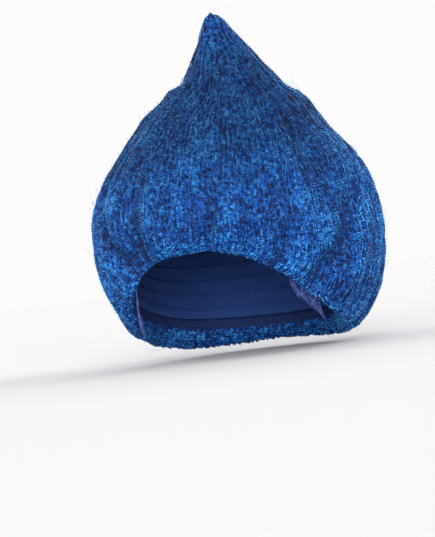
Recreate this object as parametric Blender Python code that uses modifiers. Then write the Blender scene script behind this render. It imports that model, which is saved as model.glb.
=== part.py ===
"""Troll wig: crimped hair swept up from a net cap into one point, as solids for each piece."""

import math

import bmesh
import bpy
from mathutils import Vector

# Driving dimensions, in metres. +Z is up and the front looks along -Y. Azimuths are in
# degrees from the front towards +X. The origin is the crown of the hollow inside the cap.
HOLLOW_WIDTH = 0.154
HOLLOW_LENGTH = 0.192
HOLLOW_CROWN = 0.085
CAP_WALL = 0.0015
EDGE_HEIGHT = 0.009
GAP = 0.0003
FRONT_RIM_DROP = 0.056
NAPE_RIM_DROP = 0.121
SIDE_FULLNESS = 0.0368
FRONT_FULLNESS = 0.011
BACK_FULLNESS = 0.039
WIDEST_DROP = 0.050
TIP_RISE = 0.129
TIP_RADIUS = 0.0012
FRONT_LEAVE_DROP = 0.026
BACK_LEAVE_DROP = 0.068
OVERHANG = 0.018
ROOT_SWEEP = 0.009
LOW_NECK = 0.060
HIGH_NECK = 0.086
SHOULDER_STEP = 0.0070
SHOULDER_FADE = 0.038
SHOULDER_EDGE = 0.004
FOLD_DEPTH = 0.0085
LAP_DEPTH = 0.0075
LAP_UNDERCUT = 2.4
RIDGE_RISE = 0.0020
TEMPLE_LENGTH = 0.032
TEMPLE_WIDTH = 0.025
TEMPLE_WALL = 0.0010
TEMPLE_LEAN = 0.10
TEMPLE_AZIMUTH = 63.0

# The hair's whole width and depth, and how far its middle lies behind the hollow's.
HAIR_WIDTH = HOLLOW_WIDTH + 2 * SIDE_FULLNESS
HAIR_DEPTH = HOLLOW_LENGTH + FRONT_FULLNESS + BACK_FULLNESS
HAIR_SET_BACK = (BACK_FULLNESS - FRONT_FULLNESS) / 2

# How full the lower arc is, and how far its root handle hangs for each metre of overhang.
ARC_FULLNESS = 0.62
ROOT_HANDLE = 2.35

COLUMNS = 96
STEP = 360.0 / COLUMNS
CAP_ROWS = 7
ARC_ROWS = 8
RISE_ROWS = 16
TIP_ROWS = 9
TEMPLE_ROWS = 8
FRONT_EDGE_COLUMNS = 28
LAP_COLUMN = 15

# Drop of the rim: azimuth, share of the way from the front drop to the nape drop.
RIM_TABLE = (
    (0, 0.00), (15, 0.02), (30, 0.11), (45, 0.28), (60, 0.48), (75, 0.66),
    (90, 0.76), (105, 0.85), (120, 0.92), (150, 0.98), (180, 1.00),
)
# Where the lower arc meets the bulb: azimuth, share from the front drop to the back drop.
LEAVE_TABLE = ((0, 0.00), (45, 0.35), (90, 0.82), (135, 0.97), (180, 1.00))
# How far the hair hangs under the rim: azimuth, share of the overhang.
OVERHANG_TABLE = (
    (0, 0.10), (30, 0.13), (45, 0.24), (60, 0.45), (75, 0.70),
    (90, 0.92), (110, 1.00), (140, 0.95), (180, 0.75),
)
# The neck, where outer locks end: azimuth, share from the low neck to the high neck.
NECK_TABLE = (
    (-180, 0.45), (-120, 0.45), (-70, 0.40), (-20, 0.55), (30, 0.85),
    (56, 1.00), (80, 0.45), (105, 0.00), (140, 0.20), (180, 0.45),
)
# The bulb: share of the rise from widest to tip, share of the spread, share of the lean.
BULB_TABLE = (
    (-0.10, 0.992, 0.012), (0.000, 1.000, 0.008), (0.134, 0.972, 0.000),
    (0.235, 0.922, 0.004), (0.335, 0.832, 0.008), (0.436, 0.707, 0.006),
    (0.503, 0.620, 0.018), (0.570, 0.522, 0.043), (0.637, 0.389, 0.070),
    (0.704, 0.304, 0.076), (0.771, 0.232, 0.069), (0.838, 0.169, 0.055),
    (0.905, 0.109, 0.036), (0.961, 0.062, 0.022), (1.000, 0.010, 0.006),
)
# Shoulders, where an outer lock ends on the neck: azimuth, half width in degrees, share of
# the step.
SHOULDER_TABLE = ((-70.0, 62.0, 1.00), (108.0, 42.0, 0.46), (-165.0, 40.0, 0.43))
# The crevice's line: climb, azimuth. The climb is 0 at the rim, 1 where the arc meets the
# bulb, 2 at the neck and 3 at the tip.
LAP_TABLE = (
    (1.0, 50.0), (1.3, 50.5), (1.4, 51.5), (1.5, 53.5), (1.6, 55.5),
    (1.7, 55.3), (1.8, 53.5), (1.9, 51.0), (2.1, 49.0),
)
# Folds: azimuth at climb 1, half width in degrees, share of the depth, the climb where each
# starts and ends, and how many degrees it turns for each unit of climb.
FOLD_TABLE = (
    (-162.0, 5.5, 0.70, 0.0, 1.40, 4.0),
    (-140.0, 5.5, 0.95, 0.0, 1.95, 3.0),
    (-117.0, 5.5, 0.70, 0.0, 1.35, -4.0),
    (-97.0, 5.0, 0.60, 0.0, 1.30, -8.0),
    (-80.0, 5.5, 0.65, 0.0, 1.45, -12.0),
    (-62.0, 4.5, 0.55, 0.0, 1.30, -16.0),
    (-43.0, 5.0, 1.00, 0.0, 1.62, -22.0),
    (-23.0, 5.0, 1.00, 0.0, 1.55, 5.0),
    (-6.0, 4.5, 0.35, 0.4, 1.35, 3.0),
    (12.5, 4.5, 0.85, 0.0, 1.38, 9.0),
    (29.0, 4.0, 0.45, 0.0, 1.05, 8.0),
    (43.0, 4.0, 0.50, 0.0, 1.00, 8.0),
    (68.0, 5.0, 0.75, 0.0, 1.50, 22.0),
    (58.0, 9.0, 0.45, 0.8, 1.75, 10.0),
    (88.0, 5.0, 0.50, 0.1, 1.45, 10.0),
    (103.0, 5.0, 0.60, 0.0, 1.30, 6.0),
    (121.0, 5.5, 0.70, 0.0, 1.45, 3.0),
    (139.0, 5.5, 0.95, 0.0, 1.95, -3.0),
    (159.0, 5.5, 0.65, 0.0, 1.35, -4.0),
    (178.0, 5.0, 0.60, 0.0, 1.30, 0.0),
)

BLUE_HAIR = (0.012, 0.075, 0.330, 1.0)
BLUE_NET = (0.010, 0.045, 0.200, 1.0)
BLUE_EDGE = (0.012, 0.050, 0.240, 1.0)
VIOLET_HAIR = (0.110, 0.150, 0.470, 1.0)


def clamped(value, low, high):
    """The value kept between low and high."""
    return max(low, min(high, value))


def eased(share):
    """A smooth step from 0 to 1."""
    share = clamped(share, 0.0, 1.0)
    return share * share * (3.0 - 2.0 * share)


def blend(first, last, share):
    """The value that share of the way from first to last."""
    return first + (last - first) * share


def along(rows, at, column=1):
    """The smooth value of a table's column at a place in its first column."""
    at = clamped(at, rows[0][0], rows[-1][0])
    index = next(i for i in range(1, len(rows)) if at <= rows[i][0])
    low, high = rows[index - 1], rows[index]
    before = rows[max(index - 2, 0)]
    after = rows[min(index + 1, len(rows) - 1)]
    span = high[0] - low[0]
    share = (at - low[0]) / span
    low_slope = (high[column] - before[column]) / (high[0] - before[0]) * span
    high_slope = (after[column] - low[column]) / (after[0] - low[0]) * span
    square, cube = share * share, share * share * share
    return (
        low[column] * (2 * cube - 3 * square + 1)
        + low_slope * (cube - 2 * square + share)
        + high[column] * (3 * square - 2 * cube)
        + high_slope * (cube - square)
    )


def turned(azimuth):
    """The azimuth brought between -180 and 180 degrees."""
    return (azimuth + 180.0) % 360.0 - 180.0


def outward(azimuth):
    """The level unit vector that points out at an azimuth."""
    angle = math.radians(azimuth)
    return Vector((math.sin(angle), -math.cos(angle), 0.0))


def hollow_point(azimuth, polar, offset):
    """A point on the hollow, grown by offset; polar is the angle down from the crown."""
    level = math.sin(polar)
    out = outward(azimuth)
    return Vector((
        out.x * level * (HOLLOW_WIDTH / 2 + offset),
        out.y * level * (HOLLOW_LENGTH / 2 + offset),
        (HOLLOW_CROWN + offset) * math.cos(polar) - HOLLOW_CROWN,
    ))


def rim_polar(azimuth):
    """The polar angle of the rim at an azimuth."""
    share = along(RIM_TABLE, abs(turned(azimuth)))
    drop = blend(FRONT_RIM_DROP, NAPE_RIM_DROP, share)
    return math.acos(1.0 - drop / HOLLOW_CROWN)


def edge_polar(azimuth):
    """The polar angle of the upper edge of the band that binds the rim."""
    return rim_polar(azimuth) - EDGE_HEIGHT / ((HOLLOW_LENGTH / 2 + HOLLOW_CROWN) / 2)


def neck_height(azimuth):
    """The height of the neck at an azimuth."""
    return blend(LOW_NECK, HIGH_NECK, along(NECK_TABLE, turned(azimuth)))


def leave_height(azimuth):
    """The height where the lower arc meets the bulb."""
    return -blend(FRONT_LEAVE_DROP, BACK_LEAVE_DROP, along(LEAVE_TABLE, abs(turned(azimuth))))


def bulb_point(azimuth, height, inset=0.0):
    """A point on the bulb at a height, moved in by inset."""
    share = (height + WIDEST_DROP) / (TIP_RISE + WIDEST_DROP)
    spread = along(BULB_TABLE, share, 1)
    lean = along(BULB_TABLE, share, 2) * HAIR_WIDTH / 2
    out = outward(azimuth)
    half_width = max(spread * HAIR_WIDTH / 2 - inset, TIP_RADIUS)
    half_depth = max(spread * HAIR_DEPTH / 2 - inset, TIP_RADIUS)
    return Vector((lean + out.x * half_width, HAIR_SET_BACK + out.y * half_depth, height))


def shoulder_rise(azimuth, height):
    """How far the outer locks that end on the neck stand out there."""
    above = height - neck_height(azimuth)
    lift = eased(above / SHOULDER_FADE + 1.05) * (1.0 - eased(above / SHOULDER_EDGE))
    rise = 0.0
    for middle, half_width, share in SHOULDER_TABLE:
        rise += share * (1.0 - eased(abs(turned(azimuth - middle)) / half_width))
    return SHOULDER_STEP * rise * lift


def fold_inset(azimuth, climb):
    """How far the folds sink the hair there."""
    inset = 0.0
    for middle, half_width, share, start, end, lean in FOLD_TABLE:
        middle += lean * clamped(climb - 1.0, -0.4, 0.7)
        across = turned(azimuth - middle) / half_width
        valley = 1.0 / (1.0 + across * across * (1.0 + 0.3 * across * across))
        fade_in = eased((climb - start) / 0.35)
        fade_out = 1.0 - eased((climb - 0.62 * end) / (0.38 * end))
        inset += share * FOLD_DEPTH * valley * fade_in * fade_out
    return inset


def lap_window(climb):
    """How open the crevice is at a climb: the front lock laps over the left one there."""
    return eased((climb - 1.10) / 0.45) * (1.0 - eased((climb - 1.88) / 0.20))


def lap_inset(azimuth, climb):
    """How far the left lock lies under the front one, or how far the front edge stands out."""
    past = turned(azimuth - LAP_COLUMN * STEP)
    if past <= 0.0:
        return -RIDGE_RISE * lap_window(climb) * (1.0 - eased(-past / 12.0))
    return LAP_DEPTH * lap_window(climb) * (1.0 - eased(past / 26.0))


def lap_drift(azimuth, climb):
    """How far a column turns aside so that the crevice follows its line."""
    drift = along(LAP_TABLE, climb) - LAP_COLUMN * STEP
    return drift * (1.0 - eased(abs(turned(azimuth - LAP_COLUMN * STEP)) / 45.0))


def arc_point(azimuth, share):
    """A point on the lower arc, from the rim at 0 to the bulb at 1."""
    root = hollow_point(azimuth, rim_polar(azimuth), CAP_WALL + GAP)
    leave = bulb_point(azimuth, leave_height(azimuth))
    hang = OVERHANG * along(OVERHANG_TABLE, abs(turned(azimuth)))
    root_handle = root + outward(azimuth) * ROOT_SWEEP
    root_handle.z -= hang * ROOT_HANDLE
    leave_handle = leave.copy()
    leave_handle.z -= ARC_FULLNESS * (leave.z - root.z)
    rest = 1.0 - share
    return (
        root * rest ** 3
        + root_handle * (3 * rest * rest * share)
        + leave_handle * (3 * rest * share * share)
        + leave * share ** 3
    )


def hair_point(azimuth, climb, under_lap=False):
    """A point on the outer hair: climb 0 at the rim, 1 on the bulb, 2 at the neck, 3 at the tip."""
    inset = lap_inset(azimuth + 0.001 if under_lap else azimuth, climb)
    if under_lap:
        azimuth += blend(STEP * 0.3, -LAP_UNDERCUT, lap_window(climb))
    azimuth += lap_drift(azimuth, climb) * eased((climb - 0.4) / 0.6)
    inset += fold_inset(azimuth, climb)
    if climb <= 1.0:
        point = arc_point(azimuth, climb)
        clear = (point - arc_point(azimuth, 0.0)).dot(outward(azimuth))
        return point - outward(azimuth) * min(inset, 0.6 * max(clear, 0.0))
    if climb <= 2.0:
        height = blend(leave_height(azimuth), neck_height(azimuth), climb - 1.0)
    else:
        height = blend(neck_height(azimuth), TIP_RISE, (climb - 2.0) ** 1.25)
    return bulb_point(azimuth, height, inset - shoulder_rise(azimuth, height))


def hair_columns():
    """Every column round the hair: azimuth, and whether it is the edge under the lap."""
    columns = []
    for i in range(COLUMNS):
        columns.append((i * STEP, False))
        if i == LAP_COLUMN:
            columns.append((i * STEP, True))
    return columns


def cap_polar(azimuth, share):
    """The polar angle of a row of the cap, from the crown at 0 to the band at 1."""
    return share * (edge_polar(azimuth) - GAP / HOLLOW_CROWN)


def add_object(name, mesh, colour, roughness, collection):
    """An object for a mesh, shaded smooth, with its own plain material."""
    material = bpy.data.materials.new(name)
    material.use_nodes = True
    shader = material.node_tree.nodes["Principled BSDF"]
    shader.inputs["Base Color"].default_value = colour
    shader.inputs["Roughness"].default_value = roughness
    shader.inputs["Metallic"].default_value = 0.0
    mesh.materials.append(material)
    mesh.shade_smooth()
    mesh.set_sharp_from_angle(angle=math.radians(50.0))
    obj = bpy.data.objects.new(name, mesh)
    collection.objects.link(obj)
    return obj


def mesh_of(name, work):
    """The finished mesh of a bmesh, which is freed."""
    mesh = bpy.data.meshes.new(name)
    work.to_mesh(mesh)
    work.free()
    return mesh


def skin(work, rows, closed):
    """Quads between rows of vertices, round to the start again if the rows are closed."""
    for lower, upper in zip(rows, rows[1:]):
        count = len(lower)
        for i in range(count if closed else count - 1):
            j = (i + 1) % count
            work.faces.new((lower[i], lower[j], upper[j], upper[i]))


def fan(work, row, pole, pole_above):
    """Triangles from a closed row to one point."""
    for i, vertex in enumerate(row):
        following = row[(i + 1) % len(row)]
        pair = (vertex, following) if pole_above else (following, vertex)
        work.faces.new((*pair, pole))


def solidify(obj, wall):
    """A wall grown outwards on an open surface."""
    modifier = obj.modifiers.new("Wall", "SOLIDIFY")
    modifier.thickness = wall
    modifier.offset = 1.0


def make_hair_body(collection):
    """The hair: one closed surface, down inside over the cap, round the rim and up to the tip."""
    work = bmesh.new()
    columns = hair_columns()
    base = CAP_WALL + GAP
    inside = work.verts.new(hollow_point(0.0, 0.0, base))
    rows = []
    for k in range(1, CAP_ROWS + 1):
        rows.append([
            work.verts.new(hollow_point(
                azimuth + STEP * 0.3 * under, cap_polar(azimuth, k / CAP_ROWS), base))
            for azimuth, under in columns
        ])
    for k in range(ARC_ROWS + RISE_ROWS + TIP_ROWS + 1):
        if k <= ARC_ROWS:
            climb = k / ARC_ROWS
        elif k <= ARC_ROWS + RISE_ROWS:
            climb = 1.0 + (k - ARC_ROWS) / RISE_ROWS
        else:
            climb = 2.0 + (k - ARC_ROWS - RISE_ROWS) / TIP_ROWS
        rows.append([
            work.verts.new(hair_point(azimuth, climb, under)) for azimuth, under in columns
        ])
    tip = work.verts.new(bulb_point(0.0, TIP_RISE) + Vector((0.0, TIP_RADIUS, TIP_RADIUS)))
    fan(work, rows[0], inside, False)
    skin(work, rows, True)
    fan(work, rows[-1], tip, True)
    add_object("hair_body", mesh_of("hair_body", work), BLUE_HAIR, 0.5, collection)


def make_net_cap(collection):
    """The cap: a thin dome from the crown down to the bound edge."""
    work = bmesh.new()
    crown = work.verts.new(hollow_point(0.0, 0.0, 0.0))
    rows = []
    for k in range(CAP_ROWS, 0, -1):
        rows.append([
            work.verts.new(hollow_point(i * STEP, cap_polar(i * STEP, k / CAP_ROWS), 0.0))
            for i in range(0, COLUMNS, 2)
        ])
    skin(work, rows, True)
    fan(work, rows[-1], crown, True)
    obj = add_object("net_cap", mesh_of("net_cap", work), BLUE_NET, 0.75, collection)
    solidify(obj, CAP_WALL)


def make_edge(name, first, last, collection):
    """A length of the band that binds the rim, between two columns."""
    work = bmesh.new()
    clear = math.degrees(GAP / HOLLOW_WIDTH)
    rows = ([], [])
    for column in range(first, last + 1, 2):
        azimuth = column * STEP + clear * ((column == first) - (column == last))
        for row, polar in zip(rows, (rim_polar(azimuth), edge_polar(azimuth))):
            row.append(work.verts.new(hollow_point(azimuth, polar, 0.0)))
    skin(work, rows, False)
    obj = add_object(name, mesh_of(name, work), BLUE_EDGE, 0.65, collection)
    solidify(obj, CAP_WALL)


def make_temple_hair(name, hand, collection):
    """A thin tongue of fine hair that lies in front of the ear, under the rim."""
    work = bmesh.new()
    radius = HOLLOW_LENGTH / 2
    rows = []
    for k in range(TEMPLE_ROWS, -1, -1):
        share = k / TEMPLE_ROWS
        middle = TEMPLE_AZIMUTH + 7.0 * eased(share)
        half_turn = math.degrees(TEMPLE_WIDTH / 2 / radius) * (1.0 - 0.78 * share ** 1.3)
        row = []
        for side in (-1.0, -0.5, 0.0, 0.5, 1.0):
            azimuth = middle + side * half_turn
            point = hollow_point(hand * azimuth, rim_polar(azimuth), 0.0)
            point -= outward(hand * azimuth) * (TEMPLE_LEAN * TEMPLE_LENGTH * share * share)
            point.z -= GAP + TEMPLE_LENGTH * share
            row.append(work.verts.new(point))
        rows.append(row if hand > 0 else row[::-1])
    skin(work, rows, False)
    obj = add_object(name, mesh_of(name, work), VIOLET_HAIR, 0.6, collection)
    solidify(obj, TEMPLE_WALL)


def main():
    """Clears the scene and builds every piece of the wig."""
    for obj in list(bpy.data.objects):
        bpy.data.objects.remove(obj, do_unlink=True)
    collection = bpy.data.collections.new("troll_wig")
    bpy.context.scene.collection.children.link(collection)
    make_hair_body(collection)
    make_net_cap(collection)
    make_edge("front_band", -FRONT_EDGE_COLUMNS, FRONT_EDGE_COLUMNS, collection)
    make_edge("nape_elastic", FRONT_EDGE_COLUMNS, COLUMNS - FRONT_EDGE_COLUMNS, collection)
    make_temple_hair("temple_hair_left", 1, collection)
    make_temple_hair("temple_hair_right", -1, collection)


main()
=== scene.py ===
"""Troll wig: the looks of crimped blue hair over a net cap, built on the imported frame."""

from __future__ import annotations

import logging
import math
from dataclasses import dataclass, field
from enum import Enum
from typing import Any, Mapping, Sequence

import bpy
import numpy as np
from mathutils import Matrix, Vector

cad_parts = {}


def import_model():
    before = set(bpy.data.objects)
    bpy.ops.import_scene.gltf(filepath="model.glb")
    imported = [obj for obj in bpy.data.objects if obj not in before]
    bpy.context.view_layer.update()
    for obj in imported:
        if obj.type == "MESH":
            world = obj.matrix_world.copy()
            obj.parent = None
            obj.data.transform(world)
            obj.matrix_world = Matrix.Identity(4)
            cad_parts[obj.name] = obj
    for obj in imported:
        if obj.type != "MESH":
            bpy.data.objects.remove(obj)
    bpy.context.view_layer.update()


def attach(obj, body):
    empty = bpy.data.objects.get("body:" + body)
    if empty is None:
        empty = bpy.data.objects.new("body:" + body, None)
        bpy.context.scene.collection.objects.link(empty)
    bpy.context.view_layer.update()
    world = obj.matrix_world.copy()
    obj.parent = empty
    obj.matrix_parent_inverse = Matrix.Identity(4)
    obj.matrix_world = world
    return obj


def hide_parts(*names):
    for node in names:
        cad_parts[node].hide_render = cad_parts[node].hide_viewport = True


LOG = logging.getLogger("troll_wig")
Table = Sequence[Sequence[float]]
Array = np.ndarray


class Slot(Enum):
    """Names of the material slots."""

    HAIR = "hair"
    NET = "cap_net"
    EDGE = "edge_band"
    TEMPLE = "temple_hair"


class Term:
    """A number socket that adds Math nodes when it is used in an expression."""

    def __init__(self, graph: Graph, socket: bpy.types.NodeSocket) -> None:
        """Wraps a socket of a graph."""
        self.graph = graph
        self.socket = socket

    def __add__(self, other: Any) -> Term:
        """The sum."""
        return self.graph.math("ADD", self, other)

    def __sub__(self, other: Any) -> Term:
        """The difference."""
        return self.graph.math("SUBTRACT", self, other)

    def __rsub__(self, other: Any) -> Term:
        """The difference, with this term taken away."""
        return self.graph.math("SUBTRACT", other, self)

    def __mul__(self, other: Any) -> Term:
        """The product."""
        return self.graph.math("MULTIPLY", self, other)

    def __truediv__(self, other: Any) -> Term:
        """The quotient."""
        return self.graph.math("DIVIDE", self, other)

    def __rtruediv__(self, other: Any) -> Term:
        """The quotient, with this term below."""
        return self.graph.math("DIVIDE", other, self)

    def __pow__(self, other: Any) -> Term:
        """The power."""
        return self.graph.math("POWER", self, other)

    def __lt__(self, other: Any) -> Term:
        """One where this term is the lesser, else zero."""
        return self.graph.math("LESS_THAN", self, other)

    def __gt__(self, other: Any) -> Term:
        """One where this term is the greater, else zero."""
        return self.graph.math("GREATER_THAN", self, other)

    __radd__ = __add__
    __rmul__ = __mul__

    def least(self, other: Any) -> Term:
        """The lesser of the two."""
        return self.graph.math("MINIMUM", self, other)

    def most(self, other: Any) -> Term:
        """The greater of the two."""
        return self.graph.math("MAXIMUM", self, other)

    def ranged(self, low: float, high: float) -> Term:
        """The share of the way from low to high, kept between 0 and 1."""
        return ((self - low) / (high - low)).most(0.0).least(1.0)


class Graph:
    """A node tree and the short ways of adding to it."""

    def __init__(self, tree: bpy.types.NodeTree) -> None:
        """Wraps a node tree."""
        self.tree = tree

    @staticmethod
    def find(sockets: Any, name: str | int) -> bpy.types.NodeSocket:
        """The socket of that identifier, or else of that name or place.

        Args:
            sockets: A node's inputs or outputs.
            name: The identifier, name or index.

        Returns:
            The socket.
        """
        for socket in sockets:
            if socket.identifier == name:
                return socket
        return sockets[name]

    def feed(self, socket: bpy.types.NodeSocket, value: Any) -> None:
        """Links or sets a socket.

        Args:
            socket: The input.
            value: A term, a socket or a plain value.
        """
        if isinstance(value, Term):
            value = value.socket
        if isinstance(value, bpy.types.NodeSocket):
            self.tree.links.new(value, socket)
        else:
            socket.default_value = value

    def node(
        self,
        kind: str,
        settings: Mapping[str, Any] | None = None,
        sockets: Mapping[str | int, Any] | None = None,
    ) -> bpy.types.Node:
        """Adds a node.

        Args:
            kind: The node's type.
            settings: Its properties, set first; stops are a ramp's places and colours.
            sockets: Values or links for its inputs.

        Returns:
            The node.
        """
        made = self.tree.nodes.new(kind)
        for name, value in (settings or {}).items():
            if name == "stops":
                ramp = made.color_ramp.elements
                while len(ramp) < len(value):
                    ramp.new(0.5)
                for element, (place, colour) in zip(ramp, value):
                    element.position = place
                    element.color = colour
            else:
                setattr(made, name, value)
        for name, value in (sockets or {}).items():
            self.feed(self.find(made.inputs, name), value)
        return made

    def out(self, made: bpy.types.Node, name: str | int = 0) -> bpy.types.NodeSocket:
        """An output of a node."""
        return self.find(made.outputs, name)

    def term(self, made: bpy.types.Node, name: str | int = 0) -> Term:
        """An output of a node as a term."""
        return Term(self, self.out(made, name))

    def math(self, operation: str, first: Any, second: Any = 0.0) -> Term:
        """Adds a Math node.

        Args:
            operation: The node's operation.
            first: Its first value.
            second: Its second value.

        Returns:
            The result.
        """
        made = self.node("ShaderNodeMath", {"operation": operation}, {0: first, 1: second})
        return self.term(made)

    def vector(self, operation: str, first: Any, second: Any) -> bpy.types.NodeSocket:
        """Adds a Vector Math node.

        Args:
            operation: The node's operation.
            first: Its first vector.
            second: Its second vector, or the factor of a scaling.

        Returns:
            The resulting vector.
        """
        key: str | int = "Scale" if operation == "SCALE" else 1
        sockets = {0: first} if operation == "NORMALIZE" else {0: first, key: second}
        return self.out(self.node("ShaderNodeVectorMath", {"operation": operation}, sockets))

    def blend(self, share: Any, first: Any, second: Any) -> bpy.types.NodeSocket:
        """Mixes two colours.

        Args:
            share: How much of the second there is.
            first: A colour or a link.
            second: A colour or a link.

        Returns:
            The mixed colour.
        """
        made = self.node(
            "ShaderNodeMix",
            {"data_type": "RGBA"},
            {"Factor_Float": share, "A_Color": first, "B_Color": second},
        )
        return self.out(made, "Result_Color")

    def attribute(self, name: str, kind: str = "FLOAT") -> bpy.types.NodeSocket:
        """A named attribute of the geometry, in a geometry tree."""
        made = self.node("GeometryNodeInputNamedAttribute", {"data_type": kind}, {"Name": name})
        return self.out(made, "Attribute")

    def store(self, geometry: Any, name: str, value: Any) -> bpy.types.NodeSocket:
        """Keeps a number on the points of the geometry under a name."""
        made = self.node(
            "GeometryNodeStoreNamedAttribute",
            {"data_type": "FLOAT", "domain": "POINT"},
            {"Geometry": geometry, "Name": name, "Value": value},
        )
        return self.out(made)


def eased(share: Array | float) -> Array:
    """A smooth step from 0 to 1."""
    share = np.clip(share, 0.0, 1.0)
    return share * share * (3.0 - 2.0 * share)


def turned(azimuth: Array | float) -> Array:
    """The azimuth brought between -180 and 180 degrees."""
    return (np.asarray(azimuth) + 180.0) % 360.0 - 180.0


def along(rows: Table, at: Array | float, column: int = 1) -> Array:
    """The smooth value of a table's column at places in its first column.

    Args:
        rows: The table, sorted by its first column.
        at: The places.
        column: The column to read.

    Returns:
        A value for each place.
    """
    table = np.asarray(rows, dtype=float)
    x, y = table[:, 0], table[:, column]
    at = np.clip(np.asarray(at, dtype=float), x[0], x[-1])
    index = np.clip(np.searchsorted(x, at), 1, len(x) - 1)
    before, after = np.maximum(index - 2, 0), np.minimum(index + 1, len(x) - 1)
    span = x[index] - x[index - 1]
    share = (at - x[index - 1]) / span
    low_slope = (y[index] - y[before]) / (x[index] - x[before]) * span
    high_slope = (y[after] - y[index - 1]) / (x[after] - x[index - 1]) * span
    square, cube = share**2, share**3
    return (
        y[index - 1] * (2 * cube - 3 * square + 1)
        + low_slope * (cube - 2 * square + share)
        + y[index] * (3 * square - 2 * cube)
        + high_slope * (cube - square)
    )


@dataclass(frozen=True)
class Waver:
    """Smooth seeded noise over a plane, periodic in its first direction."""

    cells: int
    seed: int

    def at(self, across: Array, up: Array) -> Array:
        """The noise, between -1 and 1.

        Args:
            across: Places as shares of the whole turn.
            up: Places in cells.

        Returns:
            A value for each place.
        """
        lattice = np.random.default_rng(self.seed).uniform(-1.0, 1.0, (self.cells, 256))
        x, y = np.mod(across, 1.0) * self.cells, np.asarray(up) + 64.0
        column, row = np.floor(x).astype(int), np.floor(y).astype(int)
        share_x, share_y = eased(x - column), eased(y - row)
        total = np.zeros(np.broadcast(x, y).shape)
        for step_x, weight_x in ((0, 1.0 - share_x), (1, share_x)):
            for step_y, weight_y in ((0, 1.0 - share_y), (1, share_y)):
                corner = lattice[(column + step_x) % self.cells, (row + step_y) % 256]
                total = total + corner * weight_x * weight_y
        return total


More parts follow.
